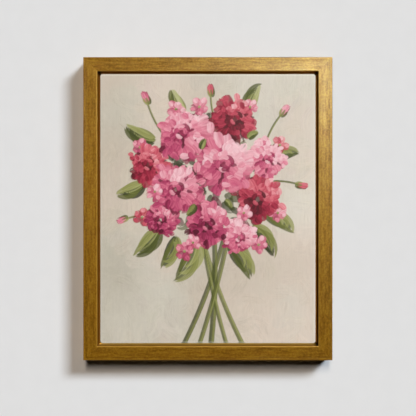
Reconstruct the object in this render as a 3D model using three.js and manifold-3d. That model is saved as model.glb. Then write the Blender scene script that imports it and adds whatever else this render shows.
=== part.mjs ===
// A small stretched canvas that floats in a mitred, gilded wooden frame, ready to hang.
//
// Millimetres. X runs along the picture's width and Z is up. The picture faces -Y, and the wall
// is the plane Y = 0. The origin is the point of the wall where the hanging nail comes out, behind
// the middle notch of the sawtooth hanger.

import * as THREE from 'three';
import { mergeVertices } from 'three/addons/utils/BufferGeometryUtils.js';
import Module from 'manifold-3d';

const wasm = await Module();
wasm.setup();

// ---- Driving dimensions ----

// The canvas: a stock 8 by 10 inch size on three-quarter inch bars.
const CANVAS_WIDTH = 203.2;
const CANVAS_HEIGHT = 254;
const CANVAS_DEPTH = 19;
const CLOTH = 0.6;
const CANVAS_CORNER = 2.4;
const CANVAS_EDGE = 1.4;
const FLAP = 22;

// The frame: a floater whose ledge carries the canvas from behind.
const FLOAT_GAP = 2.4;
const FACE_WIDTH = 13.4;
const CANVAS_RECESS = 2;
const LEDGE_DEPTH = 10.75;
const LEDGE_REACH = 12;
const OUTER_ARRIS = 0.9;
const INNER_ARRIS = 1.1;
const BACK_ARRIS = 0.5;
const GROOVE_INSET = 2.5;
const GROOVE_WIDTH = 0.9;
const GROOVE_DEPTH = 0.45;

// The stretcher bars under the cloth.
const BAR_WIDTH = 38;
const BAR_BEAD = 6;
const BAR_SLOPE = 2.2;
const BAR_ARRIS = 0.9;
const BAR_CORNER_CUT = 1.8;

// Fasteners.
const CLEARANCE = 0.3;
const STAPLE = { crown: 10.6, wire: 0.55, width: 1.2, leg: 8 };
const STAPLE_INSET = 17;
const JOINT_STAPLE_INSET = 31;
const CORNER_NAIL = { leg: 5.5, sheet: 0.6, depth: 10 };
const CORNER_NAIL_INSET = 6.5;
const SCREW = { shank: 1.75, head: 3.4, headDepth: 2.2, rim: 0.3, point: 3, length: 22 };
const SCREW_SLOT = { length: 3.8, width: 0.9, depth: 1.3 };
const SCREW_INSET = 6.4;
const SCREW_HEIGHT = 74;

// The sawtooth hanger, its two nails and the rubber bumpers.
const HANGER = { length: 44, height: 12, sheet: 0.8, bridge: 28.4, bend: 1.3, lift: 1.3 };
const HANGER_INSET = 6;
const HANGER_NAIL_SPACING = 37;
const HANGER_HOLE = 1.3;
const TOOTH_PITCH = 2.8;
const TOOTH_DEPTH = 3;
const TOOTH_NOTCHES = 9;
const TACK = { shank: 0.8, head: 2.2, headDepth: 0.9, point: 1.5, length: 9 };
const BUMPER = { radius: 4.8, thickness: 2.4, flat: 3.3 };
const BUMPER_INSET = 8;
const BUMPER_FROM_SIDE = 26;

// ---- Sizes that follow from them ----

const FRAME_WIDTH = CANVAS_WIDTH + 2 * (FLOAT_GAP + FACE_WIDTH);
const FRAME_HEIGHT = CANVAS_HEIGHT + 2 * (FLOAT_GAP + FACE_WIDTH);
const FRAME_DEPTH = LEDGE_DEPTH + CANVAS_DEPTH + CANVAS_RECESS;
const LEDGE_WIDTH = FACE_WIDTH + FLOAT_GAP + LEDGE_REACH;
const BAR_BACK = LEDGE_DEPTH + CLOTH;
const BAR_FRONT = LEDGE_DEPTH + CANVAS_DEPTH - CLOTH;
const HANG_DROP = HANGER_INSET + HANGER.height - TOOTH_DEPTH;
const BACK_PLANE = -BUMPER.thickness;

const LATHE_SIDES = 20;
const CURVE_STEPS = 4;

// ---- Materials ----

function finish(color, roughness, metalness) {
  return new THREE.MeshStandardMaterial({ color, roughness, metalness, flatShading: true });
}

const gilt = finish(0x9c7834, 0.42, 0.75);
const pine = finish(0xd8bb8c, 0.75, 0);
const primedCanvas = finish(0xcdc3b1, 0.85, 0);
const steel = finish(0xb4b6b8, 0.35, 1);
const rubber = finish(0x2c2b2a, 0.8, 0);

// ---- Solids: joining and cutting ----

// A closed geometry, moved by an optional matrix, as a solid that can be joined and cut.
function toSolid(geometry, matrix = new THREE.Matrix4()) {
  const bare = geometry.clone().applyMatrix4(matrix);
  bare.deleteAttribute('normal');
  bare.deleteAttribute('uv');
  const merged = mergeVertices(bare);
  const corners = merged.index.array;
  const triangles = [];
  for (let i = 0; i < corners.length; i += 3) {
    const [a, b, c] = corners.slice(i, i + 3);
    if (a !== b && b !== c && c !== a) triangles.push(a, b, c);
  }
  return new wasm.Manifold(new wasm.Mesh({
    numProp: 3,
    vertProperties: merged.attributes.position.array,
    triVerts: Uint32Array.from(triangles),
  }));
}

function toGeometry(solid) {
  const mesh = solid.getMesh();
  const geometry = new THREE.BufferGeometry();
  geometry.setAttribute('position', new THREE.BufferAttribute(mesh.vertProperties, 3));
  geometry.setIndex(new THREE.BufferAttribute(mesh.triVerts, 1));
  return geometry;
}

function cut(solid, tools) {
  return tools.reduce((rest, tool) => rest.subtract(tool), solid);
}

// Turns a geometry drawn in XY and extruded along Z so that it is drawn in XZ and goes to -Y.
function upright(geometry) {
  return geometry.applyMatrix4(new THREE.Matrix4().set(1, 0, 0, 0, 0, 0, -1, 0, 0, 1, 0, 0, 0, 0, 0, 1));
}

function prism(points, depth) {
  const outline = points.map(([x, y]) => new THREE.Vector2(x, y));
  return new THREE.ExtrudeGeometry(new THREE.Shape(outline), { depth, bevelEnabled: false });
}

function lathe(points) {
  return new THREE.LatheGeometry(points.map(([r, y]) => new THREE.Vector2(r, y)), LATHE_SIDES);
}

// Y of a point that lies the given depth in front of the frame's back.
function yAt(depth) {
  return BACK_PLANE - depth;
}

// ---- Mitred lengths: frame rails and stretcher bars ----

const SIDES = {
  top: [[-1, 1], [1, 1]],
  right: [[1, 1], [1, -1]],
  bottom: [[1, -1], [-1, -1]],
  left: [[-1, -1], [-1, 1]],
};
const CORNERS = { top_left: [-1, 1], top_right: [1, 1], bottom_right: [1, -1], bottom_left: [-1, -1] };

// One side of a rectangle of mitred lengths. The profile's points are the distance in from the
// rectangle's outer edge and the depth in front of the frame's back, so lengths that meet at a
// corner share that corner's points.
function mitredLength(profile, width, height, side) {
  const positions = [];
  for (const [sx, sz] of SIDES[side]) {
    for (const [inset, depth] of profile) {
      positions.push(sx * (width / 2 - inset), yAt(depth), sz * (height / 2 - inset));
    }
  }
  const count = profile.length;
  const triangles = [];
  for (let i = 0; i < count; i += 1) {
    const j = (i + 1) % count;
    triangles.push(i, j, count + i, j, count + j, count + i);
  }
  const outline = profile.map(([inset, depth]) => new THREE.Vector2(inset, depth));
  for (const [a, b, c] of THREE.ShapeUtils.triangulateShape(outline, [])) {
    triangles.push(a, b, c, count + a, count + c, count + b);
  }
  const geometry = new THREE.BufferGeometry();
  geometry.setAttribute('position', new THREE.Float32BufferAttribute(positions, 3));
  geometry.setIndex(triangles);
  return geometry;
}

// Points of a quarter round between two directions, about a centre.
function quarterRound(x, y, radius, fromAngle) {
  const points = [];
  for (let i = 0; i <= CURVE_STEPS; i += 1) {
    const angle = fromAngle - (i / CURVE_STEPS) * (Math.PI / 2);
    points.push([x + radius * Math.cos(angle), y + radius * Math.sin(angle)]);
  }
  return points;
}

function railProfile() {
  const front = FRAME_DEPTH;
  const grooveFloor = front - GROOVE_DEPTH;
  return [
    [BACK_ARRIS, 0],
    [0, BACK_ARRIS],
    ...quarterRound(OUTER_ARRIS, front - OUTER_ARRIS, OUTER_ARRIS, Math.PI),
    [GROOVE_INSET - GROOVE_WIDTH / 2, front],
    [GROOVE_INSET - GROOVE_WIDTH / 6, grooveFloor],
    [GROOVE_INSET + GROOVE_WIDTH / 6, grooveFloor],
    [GROOVE_INSET + GROOVE_WIDTH / 2, front],
    ...quarterRound(FACE_WIDTH - INNER_ARRIS, front - INNER_ARRIS, INNER_ARRIS, Math.PI / 2),
    [FACE_WIDTH, LEDGE_DEPTH],
    [LEDGE_WIDTH - BACK_ARRIS, LEDGE_DEPTH],
    [LEDGE_WIDTH, LEDGE_DEPTH - BACK_ARRIS],
    [LEDGE_WIDTH, BACK_ARRIS],
    [LEDGE_WIDTH - BACK_ARRIS, 0],
  ];
}

// The cloth touches only the bead along a bar's outer edge: behind it the face falls away.
function barProfile() {
  const inner = CLOTH + BAR_WIDTH;
  const fallen = BAR_FRONT - BAR_SLOPE;
  return [
    [CLOTH + BAR_ARRIS, BAR_BACK],
    [CLOTH, BAR_BACK + BAR_ARRIS],
    [CLOTH, BAR_FRONT - BAR_ARRIS],
    [CLOTH + BAR_ARRIS, BAR_FRONT],
    [CLOTH + BAR_BEAD, BAR_FRONT],
    [inner - BAR_ARRIS, fallen],
    [inner, fallen - BAR_ARRIS],
    [inner, BAR_BACK + BAR_ARRIS],
    [inner - BAR_ARRIS, BAR_BACK],
  ];
}

// ---- The cloth, wrapped round the bars and stapled behind them ----

// A block with round corners and edges, as large as the canvas less an inset on every side.
function canvasBlock(inset) {
  const edge = CANVAS_EDGE - inset;
  const corner = CANVAS_CORNER - inset - edge;
  const x = CANVAS_WIDTH / 2 - inset - edge;
  const y = CANVAS_HEIGHT / 2 - inset - edge;
  const outline = new THREE.Shape();
  outline.moveTo(x - corner, y);
  outline.absarc(-x + corner, y - corner, corner, Math.PI / 2, Math.PI);
  outline.absarc(-x + corner, -y + corner, corner, Math.PI, 1.5 * Math.PI);
  outline.absarc(x - corner, -y + corner, corner, 1.5 * Math.PI, 2 * Math.PI);
  outline.absarc(x - corner, y - corner, corner, 0, Math.PI / 2);
  const block = new THREE.ExtrudeGeometry(outline, {
    depth: CANVAS_DEPTH - 2 * inset - 2 * edge,
    bevelThickness: edge,
    bevelSize: edge,
    bevelSegments: CURVE_STEPS,
    curveSegments: CURVE_STEPS,
  });
  return upright(block).translate(0, yAt(LEDGE_DEPTH + inset + edge), 0);
}

function canvasSolid() {
  const windowDepth = 4 * CLOTH;
  const openBack = new THREE.BoxGeometry(CANVAS_WIDTH - 2 * FLAP, windowDepth, CANVAS_HEIGHT - 2 * FLAP);
  openBack.translate(0, yAt(LEDGE_DEPTH), 0);
  return toSolid(canvasBlock(0)).subtract(toSolid(canvasBlock(CLOTH))).subtract(toSolid(openBack));
}

// ---- Fasteners: each is drawn at the origin, on the plane it sits on, going in to -Y ----

// A staple's legs, or with clearance the holes that they make.
function stapleLegs(clearance) {
  const side = STAPLE.crown / 2;
  return [-1, 1].map((s) => {
    const leg = new THREE.BoxGeometry(
      STAPLE.wire + 2 * clearance,
      STAPLE.leg + clearance,
      STAPLE.width + 2 * clearance,
    );
    return leg.translate(s * (side - STAPLE.wire / 2), -(STAPLE.leg + clearance) / 2, 0);
  });
}

function staple() {
  const { crown, wire, width, leg } = STAPLE;
  const outer = crown / 2;
  const inner = outer - wire;
  const outline = [
    [-outer, -leg], [-inner, -leg], [-inner, 0], [inner, 0], [inner, -leg], [outer, -leg],
    [outer, wire / 2], [inner, wire], [-inner, wire], [-outer, wire / 2],
  ];
  return prism(outline, width).translate(0, 0, -width / 2);
}

// An angle of thin steel driven across a mitre, its corner towards the frame's corner.
function cornerNail(clearance) {
  const { leg, sheet, depth } = CORNER_NAIL;
  const near = -clearance;
  const far = leg + clearance;
  const thick = sheet + clearance;
  const outline = [[near, near], [far, near], [far, thick], [thick, thick], [thick, far], [near, far]];
  return upright(prism(outline, depth + clearance));
}

// A wood screw's outline with its head at the top, or with clearance the hole it sits in.
function screwOutline(clearance) {
  const { shank, head, headDepth, rim, point, length } = SCREW;
  const top = clearance > 0 ? 1 : 0;
  return lathe([
    [0, -length - clearance],
    [shank + clearance, -length + point],
    [shank + clearance, -headDepth],
    [head + clearance, -rim],
    [head + clearance, top],
    [0, top],
  ]);
}

function screw() {
  const slots = [0, Math.PI / 2].map((turn) => {
    const slot = new THREE.BoxGeometry(SCREW_SLOT.length, 2 * SCREW_SLOT.depth, SCREW_SLOT.width);
    return toSolid(slot.rotateY(turn));
  });
  return toGeometry(cut(toSolid(screwOutline(0)), slots));
}

// A hanger tack whose head rests on the hanger's tab.
function tack() {
  const { shank, head, headDepth, point, length } = TACK;
  return lathe([
    [0, -length],
    [shank, -length + point],
    [shank, 0],
    [head, 0],
    [head * 0.85, headDepth * 0.6],
    [head * 0.5, headDepth],
    [0, headDepth],
  ]);
}

function tackHole() {
  const { shank, point, length } = TACK;
  return lathe([
    [0, -length - CLEARANCE],
    [shank + CLEARANCE, -length + point],
    [shank + CLEARANCE, 1],
    [0, 1],
  ]);
}

// ---- The sawtooth hanger and the bumpers ----

// A strip bent so that its middle stands off the wood, with notches along its lower edge.
function hanger() {
  const { length, height, sheet, bridge, bend, lift } = HANGER;
  const end = length / 2;
  const foot = bridge / 2 + bend;
  const top = bridge / 2;
  const skew = sheet * 0.4;
  const strip = prism([
    [-end, 0], [-foot + skew, 0], [-top + skew, lift], [top - skew, lift], [foot - skew, 0], [end, 0],
    [end, sheet], [foot, sheet], [top, lift + sheet], [-top, lift + sheet], [-foot, sheet], [-end, sheet],
  ], height);
  const tools = [-1, 1].map((s) => {
    const hole = new THREE.CylinderGeometry(HANGER_HOLE, HANGER_HOLE, 4 * sheet, LATHE_SIDES);
    return toSolid(hole.translate(s * (HANGER_NAIL_SPACING / 2), 0, height / 2));
  });
  const notchHalf = TOOTH_PITCH / 2 - 0.2;
  for (let i = 0; i < TOOTH_NOTCHES; i += 1) {
    const x = (i - (TOOTH_NOTCHES - 1) / 2) * TOOTH_PITCH;
    const notch = prism([[-notchHalf - 0.5, -1], [notchHalf + 0.5, -1], [0, TOOTH_DEPTH]], 2 * lift + 2 * sheet);
    tools.push(toSolid(upright(notch).translate(x, 2 * lift, 0)));
  }
  return toGeometry(cut(toSolid(strip), tools));
}

function bumper() {
  const { radius, thickness, flat } = BUMPER;
  return lathe([
    [0, 0],
    [radius, 0],
    [radius, thickness * 0.35],
    [(radius + flat) / 2, thickness * 0.85],
    [flat, thickness],
    [0, thickness],
  ]);
}

// ---- Where the fasteners go ----

function at(x, depth, z, turn = 0) {
  return new THREE.Matrix4().makeRotationY(turn).setPosition(x, yAt(depth), z);
}

// Centres of a row of staples, evenly spread along a side.
function spread(count, length) {
  return Array.from({ length: count }, (_, i) => ((i + 0.5) / count - 0.5) * length);
}

function canvasStaples() {
  const x = CANVAS_WIDTH / 2 - STAPLE_INSET;
  const z = CANVAS_HEIGHT / 2 - STAPLE_INSET;
  const places = {};
  spread(3, 2 * x - STAPLE_INSET).forEach((along, i) => {
    places[`staple_top_${i + 1}`] = at(along, LEDGE_DEPTH, z);
    places[`staple_bottom_${i + 1}`] = at(along, LEDGE_DEPTH, -z);
  });
  spread(4, 2 * z - STAPLE_INSET).forEach((along, i) => {
    places[`staple_left_${i + 1}`] = at(-x, LEDGE_DEPTH, along, Math.PI / 2);
    places[`staple_right_${i + 1}`] = at(x, LEDGE_DEPTH, along, Math.PI / 2);
  });
  return places;
}

function jointStaples() {
  const places = {};
  for (const [name, [sx, sz]] of Object.entries(CORNERS)) {
    const x = sx * (CANVAS_WIDTH / 2 - JOINT_STAPLE_INSET);
    const z = sz * (CANVAS_HEIGHT / 2 - JOINT_STAPLE_INSET);
    places[`joint_staple_${name}`] = at(x, BAR_BACK, z, (sx * sz * Math.PI) / 4);
  }
  return places;
}

// Each corner nail's legs run from the mitre towards the picture's centre.
function cornerNails() {
  const places = {};
  for (const [name, [sx, sz]] of Object.entries(CORNERS)) {
    const x = sx * (FRAME_WIDTH / 2 - CORNER_NAIL_INSET);
    const z = sz * (FRAME_HEIGHT / 2 - CORNER_NAIL_INSET);
    const turn = Math.PI / 4 - Math.atan2(-sz, -sx);
    places[`corner_nail_${name}`] = at(x, 0, z, turn);
  }
  return places;
}

function screws() {
  const x = CANVAS_WIDTH / 2 - SCREW_INSET;
  return {
    screw_left_upper: at(-x, 0, SCREW_HEIGHT),
    screw_left_lower: at(-x, 0, -SCREW_HEIGHT),
    screw_right_upper: at(x, 0, SCREW_HEIGHT),
    screw_right_lower: at(x, 0, -SCREW_HEIGHT),
  };
}

function tacks() {
  const z = FRAME_HEIGHT / 2 - HANGER_INSET - HANGER.height / 2;
  return {
    tack_left: at(-HANGER_NAIL_SPACING / 2, -HANGER.sheet, z),
    tack_right: at(HANGER_NAIL_SPACING / 2, -HANGER.sheet, z),
  };
}

function bumpers() {
  const x = FRAME_WIDTH / 2 - BUMPER_FROM_SIDE;
  const z = -(FRAME_HEIGHT / 2 - BUMPER_INSET);
  return { bumper_left: at(-x, 0, z), bumper_right: at(x, 0, z) };
}

function holes(geometry, places) {
  return Object.values(places).map((matrix) => toSolid(geometry, matrix));
}

// ---- The whole picture, centred on its own middle and then hung ----

const picture = new THREE.Group();

function add(name, geometry, material, matrix = new THREE.Matrix4()) {
  const mesh = new THREE.Mesh(geometry, material);
  mesh.name = name;
  mesh.applyMatrix4(matrix);
  picture.add(mesh);
}

function addAll(places, geometry, material) {
  for (const [name, matrix] of Object.entries(places)) add(name, geometry, material, matrix);
}

const screwHoles = holes(screwOutline(CLEARANCE), screws());
const nailSlots = holes(cornerNail(CLEARANCE), cornerNails());
const tackHoles = holes(tackHole(), tacks());
const stapleHoles = stapleLegs(CLEARANCE).flatMap((leg) => holes(leg, canvasStaples()));
const jointHoles = stapleLegs(CLEARANCE).flatMap((leg) => holes(leg, jointStaples()));

// A block turned on its corner takes the bars' sharp outer corners off, inside the round cloth.
const cornerCuts = Object.values(CORNERS).map(([sx, sz]) => {
  const size = 2 * Math.SQRT2 * (CLOTH + BAR_CORNER_CUT / 2);
  const block = new THREE.BoxGeometry(size, 2 * CANVAS_DEPTH, size).rotateY(Math.PI / 4);
  return toSolid(block, at((sx * CANVAS_WIDTH) / 2, CANVAS_DEPTH, (sz * CANVAS_HEIGHT) / 2));
});

for (const side of Object.keys(SIDES)) {
  const rail = toSolid(mitredLength(railProfile(), FRAME_WIDTH, FRAME_HEIGHT, side));
  add(`rail_${side}`, toGeometry(cut(rail, [...nailSlots, ...screwHoles, ...tackHoles])), gilt);
}

for (const side of Object.keys(SIDES)) {
  const bar = toSolid(mitredLength(barProfile(), CANVAS_WIDTH, CANVAS_HEIGHT, side));
  const tools = [...cornerCuts, ...screwHoles, ...stapleHoles, ...jointHoles];
  add(`bar_${side}`, toGeometry(cut(bar, tools)), pine);
}

add('canvas', toGeometry(cut(canvasSolid(), [...screwHoles, ...stapleHoles])), primedCanvas);

addAll(canvasStaples(), staple(), steel);
addAll(jointStaples(), staple(), steel);
addAll(cornerNails(), cornerNail(0), steel);
addAll(screws(), screw(), steel);

add('hanger', hanger(), steel, at(0, 0, FRAME_HEIGHT / 2 - HANGER_INSET - HANGER.height));
addAll(tacks(), tack(), steel);
addAll(bumpers(), bumper(), rubber);

picture.position.z = HANG_DROP - FRAME_HEIGHT / 2;

const group = new THREE.Group();
group.add(picture);

export default group;
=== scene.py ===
"""The looks of a small oil painting on canvas in a gilded floater frame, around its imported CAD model.

The axes are the frame's own: X to the right, Z up, and the picture faces -Y with the wall at Y = 0.
Sizes are in millimetres, which MM turns into metres, and lamps are placed in metres.
"""

import math

import bpy
import numpy as np
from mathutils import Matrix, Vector


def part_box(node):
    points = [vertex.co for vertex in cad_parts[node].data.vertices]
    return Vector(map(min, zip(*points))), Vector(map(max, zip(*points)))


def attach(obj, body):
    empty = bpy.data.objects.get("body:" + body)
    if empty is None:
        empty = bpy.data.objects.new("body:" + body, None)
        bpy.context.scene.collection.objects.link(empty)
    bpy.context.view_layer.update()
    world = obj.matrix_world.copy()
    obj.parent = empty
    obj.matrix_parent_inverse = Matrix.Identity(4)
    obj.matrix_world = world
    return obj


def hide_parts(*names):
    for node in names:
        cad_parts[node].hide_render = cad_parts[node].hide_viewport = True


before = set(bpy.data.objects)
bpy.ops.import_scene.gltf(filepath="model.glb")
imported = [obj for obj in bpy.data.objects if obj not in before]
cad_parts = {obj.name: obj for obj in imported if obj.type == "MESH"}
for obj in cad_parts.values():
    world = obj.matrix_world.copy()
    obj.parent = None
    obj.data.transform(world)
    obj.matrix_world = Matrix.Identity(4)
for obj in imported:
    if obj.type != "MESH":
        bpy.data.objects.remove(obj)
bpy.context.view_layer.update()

MM = 0.001
SIDES = ("top", "right", "bottom", "left")

# ---- Sizes, from the frame and from the mouldings that it was cut from (millimetres) ----

FACE_WIDTH = 13.4
LEDGE_DEPTH = 10.75
LEDGE_WIDTH = 27.8
OUTER_ARRIS = 0.6
INNER_ARRIS = 0.8
BACK_ARRIS = 0.5
GROOVE_INSET = 2.5
GROOVE_WIDTH = 0.9
GROOVE_DEPTH = 0.08
CANVAS_CORNER = 2.4
CANVAS_EDGE = 0.7
CLOTH = 0.5
FLAP = 22.0


def box_of(*nodes):
    """The lowest and highest corners of several nodes together, in millimetres."""
    boxes = [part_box(node) for node in nodes]
    low = np.min([box[0] for box in boxes], axis=0) / MM
    high = np.max([box[1] for box in boxes], axis=0) / MM
    return low, high


FRAME_LOW, FRAME_HIGH = box_of(*(f"rail_{side}" for side in SIDES))
CANVAS_LOW, CANVAS_HIGH = box_of("canvas")
FRAME_WIDTH, FRAME_DEPTH, FRAME_HEIGHT = FRAME_HIGH - FRAME_LOW
CANVAS_WIDTH, CANVAS_DEPTH, CANVAS_HEIGHT = CANVAS_HIGH - CANVAS_LOW
CENTRE_Z = (FRAME_LOW[2] + FRAME_HIGH[2]) / 2
BACK_PLANE = FRAME_HIGH[1]
CANVAS_FRONT = CANVAS_LOW[1]


# ---- Noise and colours ----

def linear(colour):
    """An sRGB colour of 0 to 255 as linear light."""
    c = np.asarray(colour, float) / 255
    return np.where(c <= 0.04045, c / 12.92, ((c + 0.055) / 1.055) ** 2.4)


def rgba(colour):
    return (*linear(colour), 1.0)


def smooth(x):
    x = np.clip(x, 0, 1)
    return x * x * (3 - 2 * x)


NOISE_CELLS = 64


def noise(x, y, seed):
    """Smooth noise from -1 to 1 over the plane, about one bump to each unit."""
    table = np.random.default_rng(seed).random((NOISE_CELLS, NOISE_CELLS)) * 2 - 1
    x, y = np.broadcast_arrays(x, y)
    i, j = np.floor(x).astype(int), np.floor(y).astype(int)
    u, v = smooth(x - i), smooth(y - j)
    i, j, i1, j1 = (cell % NOISE_CELLS for cell in (i, j, i + 1, j + 1))
    near = table[i, j] * (1 - u) + table[i1, j] * u
    far = table[i, j1] * (1 - u) + table[i1, j1] * u
    return near * (1 - v) + far * v


# ---- Materials ----

class Nodes:
    """A node tree, with a short call for each kind of node that is used here. Inputs are sockets or
    plain values, and a plain colour is sRGB of 0 to 255."""

    def __init__(self, owner):
        owner.use_nodes = True
        self.owner = owner
        self.tree = owner.node_tree
        self.tree.nodes.clear()

    def put(self, socket, value):
        if isinstance(value, bpy.types.NodeSocket):
            self.tree.links.new(value, socket)
        elif value is not None:
            socket.default_value = rgba(value) if socket.type == "RGBA" else value

    def add(self, kind, **inputs):
        node = self.tree.nodes.new("ShaderNode" + kind)
        for name, value in inputs.items():
            self.put(node.inputs[name.replace("_", " ")], value)
        return node

    def place(self):
        return self.add("TexCoord").outputs["Object"]

    def attribute(self, name, output="Fac"):
        node = self.add("Attribute")
        node.attribute_name = name
        return node.outputs[output]

    def stretched(self, vector, scale):
        return self.add("Mapping", Vector=vector, Scale=scale).outputs["Vector"]

    def noise(self, vector, scale, detail=3.0, roughness=0.5, distortion=0.0):
        """Noise at one scale, or at a scale for each axis."""
        if isinstance(scale, tuple):
            vector, scale = self.stretched(vector, scale), 1.0
        node = self.add("TexNoise", Vector=vector, Scale=scale, Detail=detail, Roughness=roughness,
                        Distortion=distortion)
        return node.outputs["Fac"]

    def math(self, operation, *values):
        node = self.add("Math")
        node.operation = operation
        for socket, value in zip(node.inputs, values):
            self.put(socket, value)
        return node.outputs[0]

    def times(self, a, b):
        return self.math("MULTIPLY", a, b)

    def plus(self, a, b):
        return self.math("ADD", a, b)

    def ramp(self, factor, *stops):
        """Colours or greys at places from 0 to 1, blended between them."""
        node = self.add("ValToRGB", Fac=factor)
        elements = node.color_ramp.elements
        while len(elements) < len(stops):
            elements.new(1.0)
        for element, (position, value) in zip(elements, stops):
            element.position = position
            grey = isinstance(value, (int, float))
            element.color = (value, value, value, 1.0) if grey else rgba(value)
        return node.outputs["Color"]

    def mix(self, factor, a, b, blend="MIX"):
        node = self.add("Mix", Factor=factor)
        node.data_type = "RGBA"
        node.blend_type = blend
        self.put(node.inputs[6], a)
        self.put(node.inputs[7], b)
        return node.outputs[2]

    def layers(self, colour, *layers, cover=None):
        """Layers over a colour. Each has a pattern, two stops of how thick it lies, and its own colour;
        the cover thins them all."""
        for pattern, start, end, tint in layers:
            share = self.ramp(pattern, start, end)
            if cover is not None:
                share = self.times(share, cover)
            colour = self.mix(share, colour, tint)
        return colour

    def bump(self, height, strength, distance, normal=None):
        node = self.add("Bump", Height=height, Strength=strength, Distance=distance * MM, Normal=normal)
        return node.outputs["Normal"]

    def surface(self, colour, roughness, normal=None, **settings):
        settings |= {"Base_Color": colour, "Roughness": roughness, "Normal": normal}
        return self.finish(self.add("BsdfPrincipled", **settings))

    def finish(self, shader, output="OutputMaterial"):
        self.put(self.add(output).inputs["Surface"], shader.outputs[0])
        return self.owner


def material_nodes(name):
    return Nodes(bpy.data.materials.new(name))


def gilding():
    """Gold leaf over brown bole, brushed along the rail, toned and abraded through in places, with a painted
    highlight on the inner edges that face the light and painted shade in the groove.
    """
    n = material_nodes("gilding")
    rail = n.attribute("rail", "Vector")
    streaks = n.noise(rail, (30, 420, 1), 3.0, 0.6)
    grain = n.noise(rail, (90, 500, 1), 3.0, 0.62)
    speckle = n.noise(rail, (480, 560, 1), 2.0, 0.6)
    patches = n.noise(rail, (26, 60, 1), 4.0, 0.62)
    rust = n.noise(rail, (36, 96, 3), 2.0)
    blotches = n.noise(rail, (120, 210, 1), 4.0, 0.65)
    leaf = n.ramp(patches, (0.3, (128, 83, 2)), (0.5, (143, 95, 4)), (0.72, (158, 109, 10)))
    brushed = n.layers(
        leaf,
        (rust, (0.58, 0), (0.72, 0.25), (148, 79, 6)),
        (blotches, (0.46, 0), (0.68, 0.3), (108, 64, 4)),
        (streaks, (0.44, 0), (0.66, 0.34), (178, 131, 22)),
        (streaks, (0.32, 0.32), (0.5, 0), (98, 62, 3)),
        (grain, (0.46, 0), (0.68, 0.32), (193, 146, 34)),
        (grain, (0.3, 0.3), (0.52, 0), (94, 58, 3)),
        (speckle, (0.5, 0), (0.7, 0.36), (191, 144, 32)),
        (speckle, (0.3, 0.36), (0.5, 0), (88, 54, 3)),
    )
    cells = n.add("TexVoronoi", Vector=n.stretched(rail, (420, 620, 1)), Scale=1.0)
    flecks = (cells.outputs["Distance"], (0.06, 1), (0.13, 0), (54, 30, 3))
    few = n.ramp(n.noise(rail, (60, 90, 1), 1.0), (0.54, 0), (0.62, 0.8))
    flecked = n.layers(brushed, flecks, cover=few)
    # Wear on the edges, and a painted highlight on the inner edges that face the light, from the 'edge'
    # values
    wear_and_highlight = (blotches, (0.3, 0.4), (0.6, 0.9), (197, 148, 54))
    worn_and_highlit = n.layers(flecked, wear_and_highlight, cover=n.attribute("edge"))
    # Painted shade in the groove and the channel, from the 'groove' values
    colour = n.mix(n.attribute("groove"), worn_and_highlit, (64, 39, 4))
    height = n.plus(n.times(grain, 0.6), n.times(speckle, 0.4))
    normal = n.bump(height, 0.16, 0.04)
    polish = n.math("MULTIPLY_ADD", streaks, 0.5, n.times(height, 0.5))
    gloss = n.times(n.ramp(polish, (0.36, 0.3), (0.62, 1)), n.attribute("lacquer"))
    return n.surface(colour, n.ramp(grain, (0.36, 0.54), (0.64, 0.48)), normal, Metallic=0.45,
                     Specular_IOR_Level=0.3, Coat_Weight=gloss, Coat_Roughness=0.38, Coat_Normal=normal)


def bole():
    """The channel round the canvas: warm clay brushed thinly with gold, with a painted highlight deep in the
    bottom channel and painted shade on the ledge, the walls and the corners.
    """
    n = material_nodes("bole")
    rail = n.attribute("rail", "Vector")
    streaks = n.noise(rail, (40, 900, 1), 4.0, 0.6)
    patches = n.noise(rail, (90, 160, 1), 3.0, 0.6)
    clay = n.ramp(patches, (0.35, (188, 106, 20)), (0.65, (216, 136, 38)))
    brushed = n.layers(clay, (streaks, (0.45, 0), (0.65, 0.5), (228, 164, 66)))
    # Painted highlight where the light falls into the bottom channel, and some edge wear, from the 'edge'
    # values
    wear_and_highlight = n.mix(n.attribute("edge"), brushed, (255, 195, 88))
    # Painted shade on the channel's ledge, walls and corners, from the 'groove' values
    colour = n.mix(n.attribute("groove"), wear_and_highlight, (18, 7, 2))
    roughness = n.ramp(streaks, (0.3, 0.62), (0.7, 0.48))
    return n.surface(colour, roughness, n.bump(streaks, 0.4, 0.05), Metallic=0.3, Specular_IOR_Level=0.2)


WOOD_GRAIN = {"x": (5, 70, 70), "z": (70, 70, 5)}


def bare_wood(name, axis, pale, deep):
    """Planed softwood, with its grain running along one axis."""
    n = material_nodes(name)
    place = n.place()
    coarse, middling, fine = (tuple(s * size for s in WOOD_GRAIN[axis]) for size in (0.8, 3.2, 26))
    wavy = n.noise(place, coarse, 2.0, 0.5, 0.8)
    rings = n.noise(place, middling, 3.0, 0.55, 1.2)
    fibre = n.noise(place, fine, 3.0, 0.6)
    colour = n.layers(
        n.ramp(rings, (0.36, pale), (0.6, deep)),
        (wavy, (0.4, 0), (0.7, 0.45), deep),
        (fibre, (0.35, 0.35), (0.55, 0), tuple(c * 0.72 for c in deep)),
    )
    normal = n.bump(n.plus(fibre, rings), 0.4, 0.08)
    return n.surface(colour, n.ramp(fibre, (0.3, 0.78), (0.7, 0.6)), normal)


THREAD_PITCH = 0.62


def weave_height(n, place):
    """Plain weave: threads that pass over and under each other."""
    turns = math.pi / (THREAD_PITCH * MM)
    shift = n.times(n.noise(place, 160.0, 2.0), 1.4)
    axes = n.add("SeparateXYZ", Vector=place).outputs
    x, z = (n.math("SINE", n.plus(n.times(axes[name], turns), shift)) for name in "XZ")
    over = n.math("MULTIPLY_ADD", n.times(x, z), 0.5, 0.5)
    warp = n.times(n.math("ABSOLUTE", x), over)
    weft = n.times(n.math("ABSOLUTE", z), n.math("SUBTRACT", 1.0, over))
    return n.plus(warp, weft)


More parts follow.
